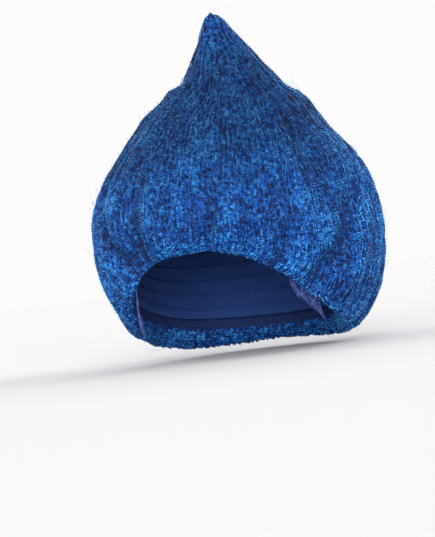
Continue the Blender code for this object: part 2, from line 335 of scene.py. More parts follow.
@dataclass(frozen=True)
class WigForm:
    """The form of the wig: the hollow for the head and the hair round it, in metres."""

    hollow_width: float = 0.154
    hollow_length: float = 0.192
    hollow_crown: float = 0.085
    cap_wall: float = 0.0015
    edge_height: float = 0.009
    gap: float = 0.0003
    front_rim_drop: float = 0.056
    nape_rim_drop: float = 0.121
    side_fullness: float = 0.0368
    front_fullness: float = 0.011
    back_fullness: float = 0.039
    widest_drop: float = 0.050
    tip_rise: float = 0.129
    tip_radius: float = 0.0012
    front_leave_drop: float = 0.026
    back_leave_drop: float = 0.068
    overhang: float = 0.018
    root_sweep: float = 0.009
    low_neck: float = 0.060
    high_neck: float = 0.086
    shoulder_step: float = 0.0070
    shoulder_fade: float = 0.038
    shoulder_edge: float = 0.004
    fold_depth: float = 0.0085
    lap_depth: float = 0.0075
    lap_undercut: float = 2.4
    broad_locks: float = 0.0014
    narrow_locks: float = 0.0009
    ridge_rise: float = 0.0020
    arc_fullness: float = 0.62
    root_handle: float = 2.35
    lap_azimuth: float = 56.25
    lap_opens: float = 1.10
    lap_opening: float = 0.45
    lap_closes: float = 1.88
    lap_closing: float = 0.20
    ridge_turn: float = 12.0
    sunk_turn: float = 26.0
    drift_turn: float = 45.0
    closed_step: float = 0.35
    close_shadow: float = 8.0
    wide_shadow: float = 28.0
    close_share: float = 0.6
    shoulder_start: float = 1.05
    fold_flank: float = 0.3
    fold_fade: float = 0.35
    fold_hold: float = 0.62
    rim_clearance: float = 0.6
    tip_quickening: float = 1.25
    broad_noise: Waver = Waver(34, 11)
    narrow_noise: Waver = Waver(84, 12)
    swerve_noise: Waver = Waver(9, 5)
    swerve: float = 0.004

    # Azimuth and share of the drop from the front rim to the nape.
    rim: Table = (
        (0, 0.00), (15, 0.02), (30, 0.11), (45, 0.28), (60, 0.48), (75, 0.66),
        (90, 0.76), (105, 0.85), (120, 0.92), (150, 0.98), (180, 1.00),
    )
    # Azimuth and share of the drop at which the lower arc meets the bulb.
    leave: Table = ((0, 0.00), (45, 0.35), (90, 0.82), (135, 0.97), (180, 1.00))
    # Azimuth and share of the overhang below the rim.
    hang: Table = (
        (0, 0.10), (30, 0.13), (45, 0.24), (60, 0.45), (75, 0.70),
        (90, 0.92), (110, 1.00), (140, 0.95), (180, 0.75),
    )
    # Azimuth and share of the rise from the lowest to the highest neck.
    neck: Table = (
        (-180, 0.45), (-120, 0.45), (-70, 0.40), (-20, 0.55), (30, 0.85),
        (56, 1.00), (80, 0.45), (105, 0.00), (140, 0.20), (180, 0.45),
    )
    # Share of the height, spread, and lean to the wearer's left as a share of half the width.
    bulb: Table = (
        (-0.10, 0.992, 0.012), (0.000, 1.000, 0.008), (0.134, 0.972, 0.000),
        (0.235, 0.922, 0.004), (0.335, 0.832, 0.008), (0.436, 0.707, 0.006),
        (0.503, 0.620, 0.018), (0.570, 0.522, 0.043), (0.637, 0.389, 0.070),
        (0.704, 0.304, 0.076), (0.771, 0.232, 0.069), (0.838, 0.169, 0.055),
        (0.905, 0.109, 0.036), (0.961, 0.062, 0.022), (1.000, 0.010, 0.006),
    )
    # Middle azimuth, half width in degrees, and share of the shoulder step.
    shoulders: Table = ((-70.0, 62.0, 1.00), (108.0, 42.0, 0.46), (-165.0, 40.0, 0.43))
    # Climb and azimuth of the crevice.
    lap_line: Table = (
        (1.0, 50.0), (1.3, 50.5), (1.4, 51.5), (1.5, 53.5), (1.6, 55.5),
        (1.7, 55.3), (1.8, 53.5), (1.9, 51.0), (2.1, 49.0),
    )
    # Azimuth, half width in degrees, share of the depth, start and end climb, lean in degrees.
    folds: Table = (
        (-162.0, 5.5, 0.70, 0.0, 1.40, 4.0),
        (-140.0, 5.5, 0.95, 0.0, 1.95, 3.0),
        (-117.0, 5.5, 0.70, 0.0, 1.35, -4.0),
        (-97.0, 5.0, 0.60, 0.0, 1.30, -8.0),
        (-80.0, 5.5, 0.65, 0.0, 1.45, -12.0),
        (-62.0, 4.5, 0.55, 0.0, 1.30, -16.0),
        (-43.0, 5.0, 1.00, 0.0, 1.62, -22.0),
        (-23.0, 5.0, 1.00, 0.0, 1.55, 5.0),
        (-6.0, 4.5, 0.35, 0.4, 1.35, 3.0),
        (12.5, 4.5, 0.85, 0.0, 1.38, 9.0),
        (29.0, 4.0, 0.45, 0.0, 1.05, 8.0),
        (43.0, 4.0, 0.50, 0.0, 1.00, 8.0),
        (68.0, 5.0, 0.75, 0.0, 1.50, 22.0),
        (58.0, 9.0, 0.45, 0.8, 1.75, 10.0),
        (88.0, 5.0, 0.50, 0.1, 1.45, 10.0),
        (103.0, 5.0, 0.60, 0.0, 1.30, 6.0),
        (121.0, 5.5, 0.70, 0.0, 1.45, 3.0),
        (139.0, 5.5, 0.95, 0.0, 1.95, -3.0),
        (159.0, 5.5, 0.65, 0.0, 1.35, -4.0),
        (178.0, 5.0, 0.60, 0.0, 1.30, 0.0),
    )

    @staticmethod
    def outward(azimuth: Array) -> Array:
        """The level unit vectors that point out at the azimuths."""
        angle = np.radians(azimuth)
        return np.stack([np.sin(angle), -np.cos(angle), np.zeros_like(angle)], axis=-1)

    def hollow(self, azimuth: Array, polar: Array, offset: float) -> Array:
        """Points on the hollow.

        Args:
            azimuth: Azimuths in degrees.
            polar: Angles down from the crown.
            offset: How far the hollow is grown.

        Returns:
            A point for each pair.
        """
        azimuth, polar = np.broadcast_arrays(np.asarray(azimuth, float), np.asarray(polar, float))
        out, level = self.outward(azimuth), np.sin(polar)
        x = out[..., 0] * level * (self.hollow_width / 2 + offset)
        y = out[..., 1] * level * (self.hollow_length / 2 + offset)
        z = (self.hollow_crown + offset) * np.cos(polar) - self.hollow_crown
        return np.stack([x, y, z], axis=-1)

    def rim_polar(self, azimuth: Array) -> Array:
        """The polar angles of the rim."""
        share = along(self.rim, np.abs(turned(azimuth)))
        drop = self.front_rim_drop + (self.nape_rim_drop - self.front_rim_drop) * share
        return np.arccos(1.0 - drop / self.hollow_crown)

    def edge_polar(self, azimuth: Array) -> Array:
        """The polar angles of the upper edge of the band."""
        mean_radius = (self.hollow_length / 2 + self.hollow_crown) / 2
        return self.rim_polar(azimuth) - self.edge_height / mean_radius

    def neck_height(self, azimuth: Array) -> Array:
        """The heights of the neck."""
        share = along(self.neck, turned(azimuth))
        return self.low_neck + (self.high_neck - self.low_neck) * share

    def leave_height(self, azimuth: Array) -> Array:
        """The heights where the lower arc meets the bulb."""
        share = along(self.leave, np.abs(turned(azimuth)))
        return -(self.front_leave_drop + (self.back_leave_drop - self.front_leave_drop) * share)

    def bulb_point(self, azimuth: Array, height: Array, inset: Array | float = 0.0) -> Array:
        """Points on the bulb.

        Args:
            azimuth: Azimuths in degrees.
            height: Heights.
            inset: How far in they are moved.

        Returns:
            The points.
        """
        hair_width = self.hollow_width + 2 * self.side_fullness
        hair_depth = self.hollow_length + self.front_fullness + self.back_fullness
        share = (height + self.widest_drop) / (self.tip_rise + self.widest_drop)
        spread, out = along(self.bulb, share, 1), self.outward(azimuth)
        lean = along(self.bulb, share, 2) * hair_width / 2
        half_width = np.maximum(spread * hair_width / 2 - inset, self.tip_radius)
        half_depth = np.maximum(spread * hair_depth / 2 - inset, self.tip_radius)
        set_back = (self.back_fullness - self.front_fullness) / 2
        x = lean + out[..., 0] * half_width
        return np.stack([x, set_back + out[..., 1] * half_depth, height + 0.0 * x], axis=-1)

    def shoulder_rise(self, azimuth: Array, height: Array) -> Array:
        """How far the outer locks that end on the neck stand out."""
        above = height - self.neck_height(azimuth)
        lift = eased(above / self.shoulder_fade + self.shoulder_start)
        lift = lift * (1.0 - eased(above / self.shoulder_edge))
        rise = np.zeros_like(lift)
        for middle, half_width, share in self.shoulders:
            rise += share * (1.0 - eased(np.abs(turned(azimuth - middle)) / half_width))
        return self.shoulder_step * rise * lift

    def fold_share(self, azimuth: Array, climb: Array) -> Array:
        """How deep the folds are, as a share of the fold depth."""
        depth = np.zeros(np.broadcast(azimuth, climb).shape)
        for middle, half_width, share, start, end, lean in self.folds:
            centre = middle + lean * np.clip(climb - 1.0, -0.4, 0.7)
            across = turned(azimuth - centre) / half_width
            valley = 1.0 / (1.0 + across**2 * (1.0 + self.fold_flank * across**2))
            fade_in = eased((climb - start) / self.fold_fade)
            fade_out = 1.0 - eased((climb - self.fold_hold * end) / ((1.0 - self.fold_hold) * end))
            depth += share * valley * fade_in * fade_out
        return depth

    def lap_window(self, climb: Array) -> Array:
        """How open the crevice is."""
        opened = eased((climb - self.lap_opens) / self.lap_opening)
        return opened * (1.0 - eased((climb - self.lap_closes) / self.lap_closing))

    def lap_inset(self, azimuth: Array, climb: Array, under: Array) -> Array:
        """How far in the left lock lies, or how far out the front edge stands."""
        past = turned(azimuth - self.lap_azimuth)
        window = self.lap_window(climb)
        ridge = -self.ridge_rise * window * (1.0 - eased(-past / self.ridge_turn))
        sunk = self.lap_depth * window * (1.0 - eased(past / self.sunk_turn))
        return np.where((past > 1e-6) | under, sunk, ridge)

    def arc(self, azimuth: Array, share: Array) -> Array:
        """Points on the lower arc, from the rim at 0 to the bulb at 1."""
        out = self.outward(azimuth)
        up = np.array([0.0, 0.0, 1.0])
        root = self.hollow(azimuth, self.rim_polar(azimuth), self.cap_wall + self.gap)
        leave = self.bulb_point(azimuth, self.leave_height(azimuth))
        hang = self.overhang * along(self.hang, np.abs(turned(azimuth)))
        root_handle = root + out * self.root_sweep - up * (hang * self.root_handle)[..., None]
        reach = self.arc_fullness * (leave[..., 2] - root[..., 2])
        leave_handle = leave - up * reach[..., None]
        rest, share = (1.0 - share)[..., None], share[..., None]
        return (
            root * rest**3
            + root_handle * (3 * rest**2 * share)
            + leave_handle * (3 * rest * share**2)
            + leave * share**3
        )

    def hair(self, azimuth: Array, climb: Array, under: Array) -> Array:
        """Points on the outer hair.

        Args:
            azimuth: Azimuths in degrees.
            climb: 0 at the rim, 1 where the arc meets the bulb, 2 at the neck, 3 at the tip.
            under: Whether a column is the edge under the lap.

        Returns:
            The points.
        """
        azimuth, climb, under = np.broadcast_arrays(azimuth, climb, under)
        inset = self.lap_inset(azimuth, climb, under)
        azimuth = self.drifted(azimuth, climb, under)
        inset = inset + self.fold_depth * self.fold_share(azimuth, climb)
        inset = inset - self.small_locks(azimuth, climb)
        rim_to_neck = self.leave_height(azimuth) + (
            self.neck_height(azimuth) - self.leave_height(azimuth)
        ) * (climb - 1.0)
        neck_to_tip = self.neck_height(azimuth) + (self.tip_rise - self.neck_height(azimuth)) * (
            np.maximum(climb - 2.0, 0.0) ** self.tip_quickening
        )
        height = np.where(climb <= 2.0, rim_to_neck, neck_to_tip)
        above = self.bulb_point(azimuth, height, inset - self.shoulder_rise(azimuth, height))
        low = self.arc(azimuth, np.clip(climb, 0.0, 1.0))
        clear = np.sum((low - self.arc(azimuth, 0.0 * climb)) * self.outward(azimuth), axis=-1)
        sunk = np.minimum(inset, self.rim_clearance * np.maximum(clear, 0.0))
        low = low - self.outward(azimuth) * sunk[..., None]
        return np.where((climb <= 1.0)[..., None], low, above)

    def drifted(self, azimuth: Array, climb: Array, under: Array) -> Array:
        """The azimuths of the columns, which bend beside the crevice.

        Args:
            azimuth: The azimuths where the columns leave the rim.
            climb: How far up they are.
            under: Whether a column is the edge under the lap.

        Returns:
            The azimuths there.
        """
        window = self.lap_window(climb)
        step_aside = self.closed_step * (1.0 - window) - self.lap_undercut * window
        azimuth = azimuth + np.where(under, step_aside, 0.0)
        near_lap = 1.0 - eased(np.abs(turned(azimuth - self.lap_azimuth)) / self.drift_turn)
        drift = (along(self.lap_line, climb) - self.lap_azimuth) * near_lap
        return azimuth + drift * eased((climb - 0.4) / 0.6)

    def lap_shadow(self, azimuth: Array, climb: Array) -> Array:
        """How much the lock beside the crevice is shut off from the light."""
        past = turned(azimuth - self.lap_azimuth)
        close = self.close_share * (1.0 - eased(past / self.close_shadow))
        wide = (1.0 - self.close_share) * (1.0 - eased(past / self.wide_shadow))
        return self.lap_window(climb) * eased(past / 1.2 + 1.0) * (close + wide)

    def small_locks(self, azimuth: Array, climb: Array) -> Array:
        """How far the narrow locks between the folds stand out."""
        turn = azimuth / 360.0
        turn = turn + self.swerve * self.swerve_noise.at(turn, climb * 2.0)
        broad = self.broad_noise.at(turn, climb * 0.9)
        narrow = self.narrow_noise.at(turn, climb * 1.4)
        fade = eased(climb / 0.5) * (1.0 - eased((climb - 2.3) / 0.7))
        return fade * (self.broad_locks * broad + self.narrow_locks * narrow)


@dataclass
class FlowSurface:
    """A grid of points with a flow map, u round it and v up its columns, and marks by name."""

    name: str
    points: Array
    wrapped: bool
    marks: Mapping[str, Array] = field(default_factory=dict)
    mesh: bpy.types.Mesh = field(init=False)

    def build(self) -> bpy.types.Mesh:
        """The mesh, with the flow map and the attributes that strands read.

        Returns:
            The mesh, open at its first and last rows.
        """
        rows, columns = self.points.shape[:2]
        across = columns if self.wrapped else columns - 1
        row, column = np.meshgrid(np.arange(rows - 1), np.arange(across), indexing="ij")
        following = (column + 1) % columns
        faces = np.stack(
            [
                row * columns + column,
                row * columns + following,
                (row + 1) * columns + following,
                (row + 1) * columns + column,
            ],
            axis=-1,
        ).reshape(-1, 4)
        self.mesh = bpy.data.meshes.new(self.name)
        self.mesh.from_pydata(self.points.reshape(-1, 3).tolist(), [], faces.tolist())
        lengths = np.linalg.norm(np.diff(self.points, axis=0), axis=-1)
        travelled = np.concatenate([np.zeros((1, columns)), np.cumsum(lengths, axis=0)])
        share = travelled / travelled[-1]
        u = np.stack([column, column + 1, column + 1, column], axis=-1) / across
        v = np.stack(
            [
                share[row, column],
                share[row, following],
                share[row + 1, following],
                share[row + 1, column],
            ],
            axis=-1,
        )
        layer = self.mesh.uv_layers.new(name="flow")
        layer.data.foreach_set("uv", np.stack([u, v], axis=-1).reshape(-1).astype(np.float32))
        self.keep("reach", np.broadcast_to(travelled[-1], (rows, columns)))
        for name, values in self.marks.items():
            self.keep(name, values)
        self.mesh.shade_smooth()
        return self.mesh

    def keep(self, name: str, values: Array) -> None:
        """Keeps a number for each point under a name."""
        attribute = self.mesh.attributes.new(name, "FLOAT", "POINT")
        attribute.data.foreach_set("value", np.ascontiguousarray(values, np.float32).reshape(-1))


def join_rows(name: str, rings: Array, first: Array, last: Array) -> bpy.types.Mesh:
    """A closed surface through rings of points, between two poles.

    Args:
        name: The mesh's name.
        rings: Rings of points, each closed on itself.
        first: The pole before the first ring.
        last: The pole after the last ring.

    Returns:
        The mesh.
    """
    count, columns = rings.shape[:2]
    vertices = rings.reshape(-1, 3).tolist() + [first.tolist(), last.tolist()]
    faces: list[tuple[int, ...]] = []
    for low in range(0, (count - 1) * columns, columns):
        for i in range(columns):
            j = (i + 1) % columns
            faces.append((low + i, low + j, low + columns + j, low + columns + i))
    top = (count - 1) * columns
    for i in range(columns):
        j = (i + 1) % columns
        faces.append((j, i, len(vertices) - 2))
        faces.append((top + i, top + j, len(vertices) - 1))
    mesh = bpy.data.meshes.new(name)
    mesh.from_pydata(vertices, [], faces)
    mesh.shade_smooth()
    return mesh


def strip_tube(name: str, sections: Array) -> bpy.types.Mesh:
    """A closed bar through sections, each a loop of points, with its ends closed.

    Args:
        name: The mesh's name.
        sections: The loops, one after the other along the bar.

    Returns:
        The mesh.
    """
    count, sides = sections.shape[:2]
    faces: list[tuple[int, ...]] = []
    for k in range(count - 1):
        for i in range(sides):
            j = (i + 1) % sides
            faces.append((k * sides + i, k * sides + j, (k + 1) * sides + j, (k + 1) * sides + i))
    faces.append(tuple(range(sides))[::-1])
    faces.append(tuple((count - 1) * sides + i for i in range(sides)))
    mesh = bpy.data.meshes.new(name)
    mesh.from_pydata(sections.reshape(-1, 3).tolist(), [], faces)
    mesh.shade_smooth()
    return mesh


def show(name: str, mesh: bpy.types.Mesh, finish: bpy.types.Material | None) -> bpy.types.Object:
    """An object for a mesh, at the origin.

    Args:
        name: The object's name.
        mesh: Its mesh.
        finish: Its material, unless the mesh has one.

    Returns:
        The object.
    """
    if finish is not None:
        mesh.materials.clear()
        mesh.materials.append(finish)
    made = bpy.data.objects.new(name, mesh)
    bpy.context.scene.collection.objects.link(made)
    return made


def declare(piece: bpy.types.Object, slot: Slot, *nodes: str) -> None:
    """Rides a piece on the wig, hides the nodes that it stands for, and reports it."""
    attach(piece, "root")
    if nodes:
        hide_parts(*nodes)
    piece.data.calc_loop_triangles()
    LOG.info("%s: %d triangles", piece.name, len(piece.data.loop_triangles))


@dataclass(frozen=True)
class StrandPlan:
    """The sizes of one set of strands, in metres; lengths along u and v are shares."""

    spacing: float
    seed: int
    count: int
    step: float
    thickness: float
    swing: float = 0.0
    ripple: float = 0.0
    lift: float = 0.0
    rise: float = 0.0
    stray: float = 0.0
    loose: float = 0.0
    uneven: float = 0.0
    begin: float = 0.0
    end: float = 1.0
    highest: float = 1.0

    def inputs(self, finish: bpy.types.Material) -> dict[str, Any]:
        """The named inputs of the strand tree."""
        return {
            "Spacing": self.spacing, "Seed": self.seed, "Count": self.count, "Step": self.step,
            "Thickness": self.thickness, "Swing": self.swing, "Ripple": self.ripple,
            "Lift": self.lift, "Rise": self.rise, "Stray": self.stray, "Loose": self.loose,
            "Uneven": self.uneven, "Begin": self.begin, "End": self.end,
            "Highest": self.highest, "Finish": finish,
        }


class SurfaceTree:
    """A geometry tree that lays curves on a flow surface and gives them thickness."""

    def __init__(self, name: str, inputs: Sequence[tuple[str, str]]) -> None:
        """Starts the tree with its named inputs.

        Args:
            name: The tree's name.
            inputs: Each input's name and socket type.
        """
        self.tree = bpy.data.node_groups.new(name, "GeometryNodeTree")
        face = self.tree.interface
        face.new_socket("Surface", in_out="INPUT", socket_type="NodeSocketGeometry")
        for label, kind in inputs:
            face.new_socket(label, in_out="INPUT", socket_type="NodeSocket" + kind)
        face.new_socket("Result", in_out="OUTPUT", socket_type="NodeSocketGeometry")
        self.graph = Graph(self.tree)
        self.given = self.graph.node("NodeGroupInput")

    def size(self, name: str) -> Term:
        """A named input as a term."""
        return self.graph.term(self.given, name)

    def template(self, count: Term) -> bpy.types.NodeSocket:
        """A straight curve of that many points, each with its walk from 0 to 1."""
        graph = self.graph
        line = graph.node("GeometryNodeCurvePrimitiveLine")
        even = graph.node(
            "GeometryNodeResampleCurve", {"mode": "COUNT"}, {"Curve": line.outputs[0], "Count": count}
        )
        walk = graph.node("GeometryNodeSplineParameter")
        return graph.store(even.outputs[0], "walk", walk.outputs["Factor"])

    def sample(self, value: Any, u: Term, v: Term) -> bpy.types.NodeSocket:
        """A vector field of the surface at a place on its flow map.

        Args:
            value: The field.
            u: The place along the columns.
            v: The place up the rows.

        Returns:
            The sampled vector.
        """
        graph = self.graph
        place = graph.node("ShaderNodeCombineXYZ", None, {"X": u, "Y": v})
        made = graph.node(
            "GeometryNodeSampleUVSurface",
            {"data_type": "FLOAT_VECTOR"},
            {
                "Mesh": self.given.outputs["Surface"],
                "Value": value,
                "Source UV Map": graph.attribute("flow", "FLOAT_VECTOR"),
                "Sample UV": place.outputs[0],
            },
        )
        return made.outputs["Value"]

    def frame(self, u: Term, v: Term, ahead: tuple[float, float]) -> tuple[Any, Any, Any]:
        """The point, the normal and the crosswise direction at a place on the flow map.

        Args:
            u: The place along the columns.
            v: The place up the rows.
            ahead: A small step on the map in the direction that the curve runs.

        Returns:
            The three vectors.
        """
        graph = self.graph
        spot = graph.node("GeometryNodeInputPosition").outputs[0]
        point = self.sample(spot, u, v)
        normal = self.sample(graph.node("GeometryNodeInputNormal").outputs[0], u, v)
        onward = self.sample(spot, u + ahead[0], v + ahead[1])
        heading = graph.vector("SUBTRACT", onward, point)
        side = graph.vector("NORMALIZE", graph.vector("CROSS_PRODUCT", normal, heading), None)
        return point, normal, side

    def finish(self, curves: Any, place: Any, radius: Term, sides: int) -> bpy.types.NodeTree:
        """Places the curves, gives them thickness and ends the tree.

        Args:
            curves: The curves.
            place: Their new positions.
            radius: Their radius.
            sides: The sides of their profile.

        Returns:
            The finished tree.
        """
        graph = self.graph
        placed = graph.node(
            "GeometryNodeSetPosition", None, {"Geometry": curves, "Position": place}
        )
        profile = graph.node(
            "GeometryNodeCurvePrimitiveCircle", {"mode": "RADIUS"}, {"Resolution": sides, "Radius": 1.0}
        )
        solid = graph.node(
            "GeometryNodeCurveToMesh",
            None,
            {
                "Curve": placed.outputs[0],
                "Profile Curve": profile.outputs[0],
                "Scale": radius,
                "Fill Caps": True,
            },
        )
        smooth = graph.node("GeometryNodeSetShadeSmooth", None, {"Geometry": solid.outputs[0]})
        real = graph.node("GeometryNodeRealizeInstances", None, {"Geometry": smooth.outputs[0]})
        dressed = graph.node(
            "GeometryNodeSetMaterial",
            None,
            {"Geometry": real.outputs[0], "Material": self.given.outputs["Finish"]},
        )
        graph.node("NodeGroupOutput", None, {"Result": dressed.outputs[0]})
        return self.tree


def strand_tree() -> bpy.types.NodeTree:
    """The tree of crimped strands, which run up the flow of a surface.

    Returns:
        The tree.
    """
    rooted, last_start, last_end, look_ahead = 0.35, 0.97, 0.994, 0.003
    crowding, least_thick = 3.0, 0.1
    numbers = (
        "Spacing", "Step", "Thickness", "Swing", "Ripple", "Lift", "Rise", "Stray",
        "Loose", "Uneven", "Begin", "End", "Highest",
    )
    inputs = [(name, "Float") for name in numbers]
    inputs += [("Seed", "Int"), ("Count", "Int"), ("Finish", "Material")]
    build = SurfaceTree("crimped_strands", inputs)
    graph, size = build.graph, build.size
    scatter = graph.node(
        "GeometryNodeDistributePointsOnFaces",
        {"distribute_method": "POISSON"},
        {
            "Mesh": build.given.outputs["Surface"],
            "Distance Min": size("Spacing"),
            "Density Max": crowding / (size("Spacing") * size("Spacing")),
            "Seed": build.given.outputs["Seed"],
        },
    )
    flow = graph.node(
        "ShaderNodeSeparateXYZ", None, {"Vector": graph.attribute("flow", "FLOAT_VECTOR")}
    )
    u, v = graph.term(flow, "X"), graph.term(flow, "Y")
    outside = (u < size("Begin")) + (u > size("End")) + (v > size("Highest"))
    kept = graph.node(
        "GeometryNodeDeleteGeometry",
        {"domain": "POINT"},
        {"Geometry": scatter.outputs["Points"], "Selection": outside},
    ).outputs[0]
    kept = graph.store(graph.store(kept, "root_u", u), "root_v", v)
    for place, name in enumerate(("tone", "chance_b", "chance_c", "chance_d")):
        chance = graph.node(
            "FunctionNodeRandomValue",
            {"data_type": "FLOAT"},
            {"Seed": graph.math("ADD", size("Seed"), 17 * place + 3)},
        )
        kept = graph.store(kept, name, graph.out(chance, "Value_001"))
    copies = graph.node(
        "GeometryNodeInstanceOnPoints", None, {"Points": kept, "Instance": build.template(size("Count"))}
    )
    curves = graph.node("GeometryNodeRealizeInstances", None, {"Geometry": copies.outputs[0]})

    def kept_term(name: str) -> Term:
        """A number kept on the points."""
        return Term(graph, graph.attribute(name))

    walk, reach = kept_term("walk"), kept_term("reach")
    tone, chance_b = kept_term("tone"), kept_term("chance_b")
    chance_c, chance_d = kept_term("chance_c"), kept_term("chance_d")
    span = size("Count") - 1.0
    free = (1.0 - kept_term("groove")).most(0.0)
    below = (kept_term("root_v") * reach / size("Step") - span * rooted).most(0.0)
    first = graph.math("FLOOR", below)
    start = (first + size("Loose") * free * chance_b * 2.0) * size("Step") / reach
    length = span * size("Step") * (1.0 - size("Uneven") * free * chance_c)
    stop = (start + length / reach).least(last_end)
    start = start.least(last_start)
    at_v = start + (stop - start) * walk
    point, normal, side = build.frame(kept_term("root_u"), at_v, (0.0, look_ahead))
    turn = graph.math("COSINE", (first + walk * span) * math.pi)
    centred = walk * 2.0 - 1.0
    bell = 1.0 - centred * centred * centred * centred
    aside = turn * size("Swing") * (0.6 + 0.8 * tone) * bell
    aside = aside + size("Stray") * (chance_c * 2.0 - 1.0) * walk * walk
    outward = size("Lift") * (0.2 + chance_d) * bell + turn * size("Ripple") * bell
    outward = outward + size("Rise") * chance_d * walk * walk
    place = graph.vector("ADD", point, graph.vector("SCALE", side, aside))
    place = graph.vector("ADD", place, graph.vector("SCALE", normal, outward))
    radius = size("Thickness") * (0.7 + 0.6 * chance_b) * (least_thick + (1.0 - least_thick) * bell)
    # The crest share of the zigzag, kept for the painted glints on the crests of the crimp.
    crested = graph.store(curves.outputs[0], "crest", turn * 0.5 + 0.5)
    return build.finish(crested, place, radius, 3)


def ring_tree() -> bpy.types.NodeTree:
    """The tree of rows that run round a surface, such as wefts and zigzag stitches.

    Returns:
        The tree.
    """
    numbers = ("First", "Last", "Begin", "End", "Swing", "Lift", "Thickness")
    inputs = [(name, "Float") for name in numbers]
    inputs += [("Rows", "Int"), ("Count", "Int"), ("Finish", "Material")]
    build = SurfaceTree("sewn_rows", inputs)
    graph, size = build.graph, build.size
    line = graph.node("GeometryNodeMeshLine", {"mode": "OFFSET"}, {"Count": size("Rows")})
    index = graph.term(graph.node("GeometryNodeInputIndex"))
    share = index / (size("Rows") - 1.0).most(1.0)
    rows = graph.store(line.outputs[0], "row_v", size("First") + (size("Last") - size("First")) * share)
    copies = graph.node(
        "GeometryNodeInstanceOnPoints", None, {"Points": rows, "Instance": build.template(size("Count"))}
    )
    curves = graph.node("GeometryNodeRealizeInstances", None, {"Geometry": copies.outputs[0]})
    walk = Term(graph, graph.attribute("walk"))
    at_u = size("Begin") + (size("End") - size("Begin")) * walk
    row_v = Term(graph, graph.attribute("row_v"))
    point, normal, side = build.frame(at_u, row_v, (0.001, 0.0))
    turn = graph.math("COSINE", walk * (size("Count") - 1.0) * math.pi)
    place = graph.vector("ADD", point, graph.vector("SCALE", side, turn * size("Swing")))
    place = graph.vector("ADD", place, graph.vector("SCALE", normal, size("Lift")))
    return build.finish(curves.outputs[0], place, size("Thickness"), 4)


def run_tree(
    surface: bpy.types.Mesh, tree: bpy.types.NodeTree, inputs: Mapping[str, Any], name: str
) -> bpy.types.Mesh:
    """Runs a geometry tree on a surface and keeps the result as a plain mesh.

    Args:
        surface: The surface.
        tree: The tree.
        inputs: Values of its named inputs.
        name: The result's name.

    Returns:
        The mesh.
    """
    holder = bpy.data.objects.new(name + "_guide", surface)
    bpy.context.scene.collection.objects.link(holder)
    modifier = holder.modifiers.new("Strands", "NODES")
    modifier.node_group = tree
    for item in tree.interface.items_tree:
        if item.in_out == "INPUT" and item.name in inputs:
            modifier[item.identifier] = inputs[item.name]
    depsgraph = bpy.context.evaluated_depsgraph_get()
    mesh = bpy.data.meshes.new_from_object(holder.evaluated_get(depsgraph), depsgraph=depsgraph)
    mesh.name = name
    bpy.data.objects.remove(holder, do_unlink=True)
    return mesh


def principled(name: str) -> tuple[bpy.types.Material, Graph, bpy.types.Node]:
    """A new material, its graph and its shader."""
    material = bpy.data.materials.new(name)
    material.use_nodes = True
    graph = Graph(material.node_tree)
    return material, graph, material.node_tree.nodes["Principled BSDF"]


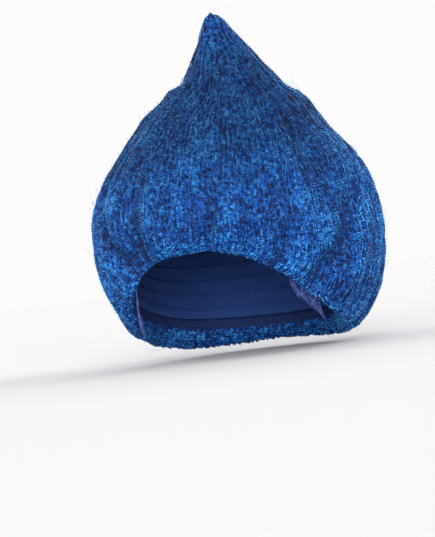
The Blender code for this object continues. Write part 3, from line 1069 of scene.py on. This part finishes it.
@dataclass(frozen=True)
class FibreFinish:
    """Crimped synthetic fibre: blue flecked with random tone and painted glints, painted glints on its
    crests, and painted shade in its grooves and on the slope of the cone.
    """

    name: str
    deep: tuple[float, float, float, float] = (0.0010, 0.0080, 0.060, 1.0)
    middle: tuple[float, float, float, float] = (0.0030, 0.0800, 0.4000, 1.0)
    bright: tuple[float, float, float, float] = (0.0700, 0.4800, 1.0000, 1.0)
    level: float = 0.0
    roughness: float = 0.5
    gloss: float = 0.22
    fleck_scale: float = 520.0
    cloud_scale: float = 38.0
    fine_scale: float = 2200.0
    # Weights of the fibre colour: flecks of random tone and painted glint, painted glint on the crests,
    # random tone per strand and in clouds.
    by_fleck_glint: float = 0.74
    by_crest_glint: float = 0.42
    by_tone: float = 0.12
    by_cloud: float = 0.28
    offset: float = -0.34
    # How far the painted shade of the grooves darkens the fibre.
    shade_depth: float = 0.85
    lowest: float = -0.135
    tallness: float = 0.265
    # Share of the height and how light the hair is painted there: painted shade on the slope of the cone,
    # painted highlight on the bulge and the tip.
    light_by_height: Table = (
        (0.00, 0.80), (0.22, 1.00), (0.45, 0.86), (0.62, 0.50), (0.84, 0.44), (1.00, 0.86),
    )

    def build(self) -> bpy.types.Material:
        """The material."""
        material, graph, shader = principled(self.name)
        place = graph.node("ShaderNodeTexCoord").outputs["Object"]
        height = graph.term(graph.node("ShaderNodeSeparateXYZ", None, {"Vector": place}), "Z")
        # Painted shade and highlight by height, multiplied into the fibre colour.
        height_light = graph.node(
            "ShaderNodeValToRGB",
            {"stops": [(share, (light, light, light, 1.0)) for share, light in self.light_by_height]},
            {"Fac": (height - self.lowest) / self.tallness},
        )
        # Flecks of random tone that also stand in for painted glints on the fibres.
        cells = graph.node(
            "ShaderNodeTexVoronoi", {"feature": "F1"}, {"Vector": place, "Scale": self.fleck_scale}
        )
        spot = graph.node("ShaderNodeSeparateColor", None, {"Color": cells.outputs["Color"]})
        fleck_glint = graph.term(spot, "Red")
        patch = graph.node(
            "ShaderNodeTexNoise", None, {"Vector": place, "Scale": self.cloud_scale, "Detail": 2.0}
        )
        tone = graph.term(graph.node("ShaderNodeAttribute", {"attribute_name": "tone"}), "Fac")
        # Painted glint on the crests of the crimp and painted shade in its troughs.
        crest = graph.term(graph.node("ShaderNodeAttribute", {"attribute_name": "crest"}), "Fac")
        shade = graph.term(graph.node("ShaderNodeAttribute", {"attribute_name": "shade"}), "Fac")
        cloud = graph.term(patch, "Fac").ranged(0.30, 0.70)
        body = self.by_fleck_glint * fleck_glint + self.by_crest_glint * crest + self.by_tone * tone
        body = body + self.by_cloud * cloud + (self.level + self.offset)
        stops = [(0.0, self.deep), (0.5, self.middle), (1.0, self.bright)]
        fibre = graph.node("ShaderNodeValToRGB", {"stops": stops}, {"Fac": body})
        # Painted shade: the grooves of the folds and the lock beside the crevice are darkened towards the
        # deep colour.
        groove_shaded = graph.blend(shade * self.shade_depth, fibre.outputs["Color"], self.deep)
        height_lit = graph.node(
            "ShaderNodeMix",
            {"data_type": "RGBA", "blend_type": "MULTIPLY"},
            {"Factor_Float": 1.0, "A_Color": groove_shaded, "B_Color": height_light.outputs["Color"]},
        )
        fine = graph.node(
            "ShaderNodeTexNoise", None, {"Vector": place, "Scale": self.fine_scale, "Detail": 2.0}
        )
        bump = graph.node(
            "ShaderNodeBump", None,
            {"Strength": 0.5, "Distance": 0.0003, "Height": fine.outputs["Fac"]},
        )
        graph.feed(shader.inputs["Base Color"], graph.out(height_lit, "Result_Color"))
        graph.feed(shader.inputs["Roughness"], self.roughness)
        graph.feed(shader.inputs["Normal"], bump.outputs["Normal"])
        graph.feed(shader.inputs["Specular IOR Level"], self.gloss)
        return material


@dataclass(frozen=True)
class ClothFinish:
    """A matt cloth with a small woven pattern, for the net, the bands and the thread."""

    name: str
    dark: tuple[float, float, float, float]
    light: tuple[float, float, float, float]
    across: float
    up: float
    roughness: float = 0.8

    def build(self) -> bpy.types.Material:
        """The material."""
        material, graph, shader = principled(self.name)
        flow = graph.node("ShaderNodeUVMap", {"uv_map": "flow"})
        parts = graph.node("ShaderNodeSeparateXYZ", None, {"Vector": flow.outputs["UV"]})
        u, v = graph.term(parts, "X") * self.across, graph.term(parts, "Y") * self.up
        warp = graph.math("ABSOLUTE", graph.math("SINE", (u + v) * math.pi))
        weft = graph.math("ABSOLUTE", graph.math("SINE", (u - v) * math.pi))
        thread = (warp.most(weft)) ** 4.0
        place = graph.node("ShaderNodeTexCoord").outputs["Object"]
        noise = graph.node(
            "ShaderNodeTexNoise", None, {"Vector": place, "Scale": 120.0, "Detail": 3.0}
        )
        share = (thread * 0.75 + graph.term(noise, "Fac") * 0.4).least(1.0)
        bump = graph.node(
            "ShaderNodeBump", None, {"Strength": 0.7, "Distance": 0.0006, "Height": thread}
        )
        graph.feed(shader.inputs["Base Color"], graph.blend(share, self.dark, self.light))
        graph.feed(shader.inputs["Roughness"], self.roughness)
        graph.feed(shader.inputs["Normal"], bump.outputs["Normal"])
        graph.feed(shader.inputs["Specular IOR Level"], 0.3)
        return material


@dataclass
class HairBody:
    """The hair: a lofted shell of locks and the crimped strands that cover it."""

    form: WigForm
    strands: bpy.types.NodeTree
    columns: int = 384
    arc_rows: int = 36
    rise_rows: int = 92
    tip_rows: int = 42
    inner_rows: int = 8
    inner_step: float = 0.3
    rim_from: float = 0.15
    rim_to: float = 0.65
    rim_order: float = 0.6
    fold_order: float = 1.5
    # How strong the painted shade in the folds is, and how it falls off.
    fold_shade: float = 1.25
    fold_falloff: float = 1.6
    # Name, and the shares of the turn where it begins and ends.
    quarters: Sequence[tuple[str, float, float]] = (
        ("front_left_locks", 0.00, 0.25), ("back_left_locks", 0.25, 0.50),
        ("back_right_locks", 0.50, 0.75), ("front_right_locks", 0.75, 1.01),
    )
    crimp: StrandPlan = StrandPlan(
        spacing=0.0037, seed=4, count=16, step=0.0013, thickness=0.00046,
        swing=0.00078, ripple=0.00040, lift=0.0012, stray=0.0028, loose=1.0, uneven=0.35,
    )
    hem: StrandPlan = StrandPlan(
        spacing=0.0024, seed=5, count=13, step=0.0013, thickness=0.00046,
        swing=0.00070, ripple=0.00035, lift=0.0006, stray=0.0015, highest=0.014,
    )
    fuzz: StrandPlan = StrandPlan(
        spacing=0.0046, seed=9, count=5, step=0.0013, thickness=0.00011,
        rise=0.0050, stray=0.0045, uneven=0.6,
    )
    flyaways: StrandPlan = StrandPlan(
        spacing=0.040, seed=21, count=13, step=0.0028, thickness=0.00009,
        rise=0.015, stray=0.014, uneven=0.5,
    )

    def lapped_columns(self, step_aside: float) -> tuple[Array, Array]:
        """The azimuths of the columns, with the column under the lap put in.

        Args:
            step_aside: How far that column stands from the lap's own, in degrees.

        Returns:
            The azimuths, and whether each is under the lap.
        """
        step = 360.0 / self.columns
        azimuth = np.arange(self.columns) * step
        place = int(round(self.form.lap_azimuth / step))
        azimuth = np.insert(azimuth, place + 1, azimuth[place] + step_aside)
        return azimuth, np.arange(len(azimuth)) == place + 1

    def grid(self) -> tuple[Array, dict[str, Array]]:
        """The outer points, with how much each is in a groove and in the shade.

        Returns:
            The points, row by row, and the marks.
        """
        azimuth, under = self.lapped_columns(0.0)
        climb = np.concatenate([
            np.linspace(0.0, 1.0, self.arc_rows, endpoint=False),
            1.0 + np.linspace(0.0, 1.0, self.rise_rows, endpoint=False),
            2.0 + np.linspace(0.0, 1.0, self.tip_rows),
        ])
        across, up = np.meshgrid(azimuth, climb)
        below = np.broadcast_to(under, across.shape)
        there = self.form.drifted(across, up, below)
        fold = np.clip(self.form.fold_share(there, up), 0.0, 1.0)
        near_rim = 1.0 - eased((up - self.rim_from) / (self.rim_to - self.rim_from))
        # Painted shade in the grooves of the folds and on the lock beside the crevice, kept for the fibre
        # colour.
        shade = self.fold_shade * fold**self.fold_falloff + self.form.lap_shadow(across, up)
        groove = np.maximum(eased(self.fold_order * fold), self.rim_order * near_rim)
        marks = {"groove": groove, "shade": np.clip(shade, 0.0, 1.0)}
        return self.form.hair(across, up, below), marks

    def shell(self) -> bpy.types.Mesh:
        """The closed shell that the strands stand on."""
        outer, _ = self.grid()
        azimuth, _ = self.lapped_columns(self.inner_step)
        base = self.form.cap_wall + self.form.gap
        top = self.form.edge_polar(azimuth)
        inner = np.stack([
            self.form.hollow(azimuth, top * k / self.inner_rows, base)
            for k in range(1, self.inner_rows + 1)
        ])
        crown = self.form.hollow(0.0, 0.0, base)
        tip = outer[-1].mean(axis=0) + np.array([0.0, 0.0, self.form.tip_radius])
        return join_rows("hair_shell", np.concatenate([inner, outer]), crown, tip)

    def build(self) -> None:
        """Builds the shell, the strands, the fuzz and the flyaways, and dresses them."""
        roots = FibreFinish("hair_roots", level=0.05, roughness=0.8).build()
        fibre = FibreFinish("crimped_fibre").build()
        wisps = FibreFinish("fuzz_fibre", level=0.25).build()
        shell = show("hair_shell", self.shell(), roots)
        declare(shell, Slot.HAIR, "hair_body")
        points, marks = self.grid()
        guide = FlowSurface("hair_guide", points, True, marks).build()
        for name, begin, end in self.quarters:
            inputs = self.crimp.inputs(fibre) | {"Begin": begin, "End": end}
            declare(show(name, run_tree(guide, self.strands, inputs, name), None), Slot.HAIR)
        loose = (
            ("hem_locks", self.hem, fibre), ("surface_fuzz", self.fuzz, wisps),
            ("flyaway_hairs", self.flyaways, wisps),
        )
        for name, plan, finish in loose:
            mesh = run_tree(guide, self.strands, plan.inputs(finish), name)
            declare(show(name, mesh, None), Slot.HAIR)
        bpy.data.meshes.remove(guide)


@dataclass
class NetCap:
    """The stretch net cap inside, with rows of wefts sewn round it."""

    form: WigForm
    rings: bpy.types.NodeTree
    columns: int = 192
    rows: int = 36
    weft_rows: int = 12
    tape: float = 0.0011
    thread: float = 0.00022
    first_weft: float = 0.05
    last_weft: float = 0.86
    crown_gap: float = 0.02

    def surface(self, offset: float, flip: bool) -> Array:
        """A side of the cap, from the band up to near the crown."""
        azimuth = np.arange(self.columns) * 360.0 / self.columns
        azimuth = -azimuth if flip else azimuth
        top = self.form.edge_polar(azimuth) - self.form.gap / self.form.hollow_crown
        shares = np.linspace(1.0, self.crown_gap, self.rows)
        return np.stack([self.form.hollow(azimuth, top * share, offset) for share in shares])

    def build(self) -> None:
        """Builds the cap, its wefts and their stitches."""
        net = ClothFinish(
            "cap_net", (0.006, 0.018, 0.085, 1.0), (0.022, 0.075, 0.300, 1.0), 300.0, 70.0
        ).build()
        tape = ClothFinish(
            "weft_tape", (0.010, 0.040, 0.180, 1.0), (0.030, 0.110, 0.420, 1.0), 500.0, 9.0
        ).build()
        outer = self.surface(self.form.cap_wall, False)
        inner = self.surface(0.0, False)[::-1]
        rings = np.concatenate([inner, outer])
        low, high = self.form.hollow(0.0, 0.0, 0.0), self.form.hollow(0.0, 0.0, self.form.cap_wall)
        shell = join_rows("net_cap_shell", rings, low, high)
        self.map_flow(shell)
        declare(show("net_cap_shell", shell, net), Slot.NET, "net_cap")
        guide = FlowSurface("cap_guide", self.surface(0.0, True), True).build()
        common = {
            "First": self.first_weft, "Last": self.last_weft, "Begin": 0.0, "End": 0.999,
            "Rows": self.weft_rows,
        }
        wefts = common | {
            "Count": 150, "Swing": 0.0, "Lift": 0.0002, "Thickness": self.tape, "Finish": tape
        }
        declare(show("weft_rows", run_tree(guide, self.rings, wefts, "weft_rows"), None), Slot.NET)
        stitches = common | {
            "Count": 330, "Swing": 0.0010, "Lift": 0.0012, "Thickness": self.thread, "Finish": net
        }
        mesh = run_tree(guide, self.rings, stitches, "weft_stitches")
        declare(show("weft_stitches", mesh, None), Slot.NET)
        bpy.data.meshes.remove(guide)

    def map_flow(self, mesh: bpy.types.Mesh) -> None:
        """Gives the cap a flow map from its azimuths and heights."""
        points = np.empty(len(mesh.vertices) * 3, np.float32)
        mesh.vertices.foreach_get("co", points)
        points = points.reshape(-1, 3)
        corners = np.empty(len(mesh.loops), np.int32)
        mesh.loops.foreach_get("vertex_index", corners)
        turn = np.arctan2(points[:, 0], -points[:, 1]) / (2 * math.pi) % 1.0
        u, v = turn[corners], (-points[:, 2] / 0.13)[corners]
        starts = np.empty(len(mesh.polygons), np.int32)
        mesh.polygons.foreach_get("loop_start", starts)
        sizes = np.empty(len(mesh.polygons), np.int32)
        mesh.polygons.foreach_get("loop_total", sizes)
        owner = np.repeat(np.arange(len(starts)), sizes)
        highest = np.maximum.reduceat(u, starts)[owner]
        u = np.where((highest > 0.75) & (u < 0.25), u + 1.0, u)
        layer = mesh.uv_layers.new(name="flow")
        layer.data.foreach_set("uv", np.stack([u, v], axis=-1).reshape(-1).astype(np.float32))


@dataclass
class RimBands:
    """The band that binds the front rim and the ribbed elastic at the nape."""

    form: WigForm
    rings: bpy.types.NodeTree
    front_turn: float = 105.0
    rib: float = 0.0024
    rib_depth: float = 0.00035

    def sections(self, first: float, last: float, count: int, ribs: bool) -> Array:
        """The loops of points along a band.

        Args:
            first: The azimuth where it starts.
            last: The azimuth where it ends.
            count: How many loops there are.
            ribs: Whether it is gathered in small ribs.

        Returns:
            The loops.
        """
        azimuth = np.linspace(first, last, count)
        low, high = self.form.rim_polar(azimuth), self.form.edge_polar(azimuth)
        wall, soft = self.form.cap_wall, 0.07
        travel = np.radians(azimuth - first) * self.form.hollow_width / 2
        wave = 0.5 - 0.5 * np.cos(2 * math.pi * travel / self.rib) if ribs else 0.0 * azimuth
        profile = (
            (0.0, soft), (0.0, 0.35), (0.0, 0.65), (0.0, 1 - soft), (0.5, 1.0),
            (1.0, 1 - soft), (1.0, soft), (0.5, 0.0),
        )
        loops = []
        for side, share in profile:
            inward = 1.0 if side == 0.0 else 0.0
            offset = wall * side + self.rib_depth * wave * inward
            polar = low + (high - low) * share
            points = np.stack([
                self.form.hollow(a, p, o) for a, p, o in zip(azimuth, polar, offset)
            ])
            loops.append(points)
        return np.stack(loops, axis=1)

    def build(self) -> None:
        """Builds both bands and the stitches along them."""
        cloth = ClothFinish(
            "edge_tape", (0.004, 0.014, 0.070, 1.0), (0.012, 0.045, 0.190, 1.0), 400.0, 5.0
        ).build()
        clear = math.degrees(self.form.gap / self.form.hollow_width)
        turn = self.front_turn
        front = strip_tube("front_band_tape", self.sections(-turn + clear, turn - clear, 160, False))
        declare(show("front_band_tape", front, cloth), Slot.EDGE, "front_band")
        nape = strip_tube("nape_elastic_tape", self.sections(turn + clear, 360 - turn - clear, 480, True))
        declare(show("nape_elastic_tape", nape, cloth), Slot.EDGE, "nape_elastic")
        azimuth = np.linspace(180.0, -180.0, 240)
        low, high = self.form.rim_polar(azimuth), self.form.edge_polar(azimuth)
        points = np.stack([
            self.form.hollow(azimuth, low + (high - low) * share, 0.0) for share in (0.0, 0.5, 1.0)
        ])
        guide = FlowSurface("band_guide", points, False).build()
        inputs = {
            "First": 0.16, "Last": 0.84, "Begin": 0.002, "End": 0.998, "Rows": 2, "Count": 480,
            "Swing": 0.0006, "Lift": 0.0002, "Thickness": 0.00016, "Finish": cloth,
        }
        mesh = run_tree(guide, self.rings, inputs, "band_stitches")
        declare(show("band_stitches", mesh, None), Slot.EDGE)
        bpy.data.meshes.remove(guide)


@dataclass
class TempleHair:
    """The fine loose hairs in front of each ear."""

    form: WigForm
    strands: bpy.types.NodeTree
    azimuth: float = 63.0
    width: float = 0.036
    sweep: float = 13.0
    length: float = 0.032
    lean: float = 0.10
    plan: StrandPlan = StrandPlan(
        spacing=0.00230, seed=31, count=12, step=0.0026, thickness=0.00013,
        swing=0.00018, lift=0.0012, stray=0.0050, uneven=0.55, highest=0.30,
    )

    def surface(self, hand: int) -> Array:
        """The tongue that the hairs lie on."""
        share = np.linspace(0.0, 1.0, 24)[:, None]
        side = np.linspace(-1.0, 1.0, 16)[None, :]
        half_turn = math.degrees(self.width / self.form.hollow_length) * (1.0 - 0.78 * share**1.3)
        azimuth = hand * (self.azimuth + self.sweep * eased(share) + side * hand * half_turn)
        point = self.form.hollow(azimuth, self.form.rim_polar(azimuth), 0.0003)
        point = point - self.form.outward(azimuth) * (self.lean * self.length * share**2)[..., None]
        point[..., 2] -= self.form.gap + self.length * share
        return point

    def build(self) -> None:
        """Builds the hairs of both temples."""
        fibre = FibreFinish(
            "temple_fibre", (0.030, 0.045, 0.180, 1.0), (0.075, 0.110, 0.420, 1.0),
            (0.240, 0.280, 0.700, 1.0), 0.15,
        ).build()
        for name, hand in (("temple_hair_left", 1), ("temple_hair_right", -1)):
            points = self.surface(hand)
            guide = FlowSurface(name + "_guide", points, False).build()
            mesh = run_tree(guide, self.strands, self.plan.inputs(fibre), name + "_strands")
            declare(show(name + "_strands", mesh, None), Slot.TEMPLE, name)
            bpy.data.meshes.remove(guide)


@dataclass
class Studio:
    """The pale floor, the soft lights and the camera at the photograph's angle."""

    azimuth: float = 20.0
    roll: float = 7.1
    distance: float = 1.8
    lens: float = 154.7
    pixel: float = 0.00078
    crown_right: float = 6.2
    crown_up: float = 91.7
    floor_height: float = -0.1395
    room: float = 8.0
    paleness: float = 0.69
    whiteness: float = 0.97
    ambient: float = 0.45
    far_limit: float = 60.0
    # Name, azimuth and height in degrees, strength, and how wide it looks in degrees.
    lights: Sequence[tuple[str, float, float, float, float]] = (
        ("front_light", 16.0, 12.0, 4.4, 40.0), ("left_light", 110.0, 20.0, 1.8, 60.0),
        ("right_light", -85.0, 20.0, 1.6, 60.0), ("back_light", 190.0, 22.0, 2.0, 60.0),
    )

    def camera(self) -> None:
        """Places the camera."""
        turn, roll = math.radians(self.azimuth), math.radians(self.roll)
        back = Vector((math.sin(turn), -math.cos(turn), 0.0))
        level = Vector((math.cos(turn), math.sin(turn), 0.0))
        rise = Vector((0.0, 0.0, 1.0))
        right = level * math.cos(roll) - rise * math.sin(roll)
        up = level * math.sin(roll) + rise * math.cos(roll)
        place = back * self.distance
        place -= right * (self.crown_right * self.pixel) + up * (self.crown_up * self.pixel)
        data = bpy.data.cameras.new("camera")
        data.sensor_fit = "VERTICAL"
        data.sensor_height = 36.0
        data.sensor_width = 36.0
        data.lens = self.lens
        data.clip_end = self.far_limit
        camera = bpy.data.objects.new("camera", data)
        turned_to = Matrix((right, up, back)).transposed().to_4x4()
        camera.matrix_world = Matrix.Translation(place) @ turned_to
        bpy.context.scene.collection.objects.link(camera)
        bpy.context.scene.camera = camera

    def floor(self) -> None:
        """Lays the floor just under the wig."""
        angle = np.linspace(0.0, 2 * math.pi, 96, endpoint=False)
        rim = np.stack([np.cos(angle), np.sin(angle), 0.0 * angle], axis=-1) * self.room * 1.02
        rim[:, 2] = self.floor_height
        mesh = bpy.data.meshes.new("studio_floor")
        mesh.from_pydata(rim.tolist(), [], [tuple(range(len(rim)))])
        material, graph, shader = principled("pale_floor")
        graph.feed(shader.inputs["Base Color"], (self.paleness, self.paleness, self.paleness, 1.0))
        graph.feed(shader.inputs["Roughness"], 0.9)
        graph.feed(shader.inputs["Specular IOR Level"], 0.0)
        show("studio_floor", mesh, material)

    def backdrop(self) -> None:
        """Hangs the white backdrop, which the camera sees and which lights nothing."""
        turn = np.linspace(0.0, 2 * math.pi, 48, endpoint=False)
        rings = np.stack([
            np.stack([np.cos(turn) * math.sin(p), np.sin(turn) * math.sin(p), math.cos(p) + 0 * turn], -1)
            for p in np.linspace(0.06, math.pi - 0.06, 24)
        ]) * self.room
        poles = np.array([0.0, 0.0, self.room]), np.array([0.0, 0.0, -self.room])
        mesh = join_rows("studio_backdrop", rings, *poles)
        material = bpy.data.materials.new("white_backdrop")
        material.use_nodes = True
        graph = Graph(material.node_tree)
        material.node_tree.nodes.clear()
        glow = graph.node(
            "ShaderNodeEmission", None, {"Color": (1.0, 1.0, 1.0, 1.0), "Strength": self.whiteness}
        )
        graph.node("ShaderNodeOutputMaterial", None, {"Surface": glow.outputs[0]})
        made = show("studio_backdrop", mesh, material)
        made.visible_diffuse = made.visible_glossy = made.visible_shadow = False
        made.visible_transmission = made.visible_volume_scatter = False

    def light(self, name: str, azimuth: float, height: float, power: float, spread: float) -> None:
        """Adds a soft light that is the same all over the studio.

        Args:
            name: Its name.
            azimuth: Where it shines from, in degrees round the wig.
            height: How high it stands, in degrees.
            power: Its strength.
            spread: How wide it looks, in degrees.
        """
        data = bpy.data.lights.new(name, "SUN")
        data.angle = math.radians(spread)
        data.energy = power
        made = bpy.data.objects.new(name, data)
        turn, rise = math.radians(azimuth), math.radians(height)
        back = Vector((math.sin(turn) * math.cos(rise), -math.cos(turn) * math.cos(rise), math.sin(rise)))
        made.matrix_world = back.to_track_quat("Z", "Y").to_matrix().to_4x4()
        bpy.context.scene.collection.objects.link(made)

    def build(self) -> None:
        """Builds the studio."""
        self.camera()
        self.floor()
        self.backdrop()
        world = bpy.data.worlds.new("studio")
        world.use_nodes = True
        sky = world.node_tree.nodes["Background"]
        sky.inputs["Color"].default_value = (1.0, 1.0, 1.0, 1.0)
        sky.inputs["Strength"].default_value = self.ambient
        bpy.context.scene.world = world
        bpy.context.scene.view_settings.view_transform = "Standard"
        for light in self.lights:
            self.light(*light)


def main() -> None:
    """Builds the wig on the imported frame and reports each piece."""
    logging.basicConfig(level=logging.INFO, format="%(name)s %(message)s")
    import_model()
    form = WigForm()
    strands, rings = strand_tree(), ring_tree()
    Studio().build()
    NetCap(form, rings).build()
    RimBands(form, rings).build()
    HairBody(form, strands).build()
    TempleHair(form, strands).build()


if __name__ == "__main__":
    main()
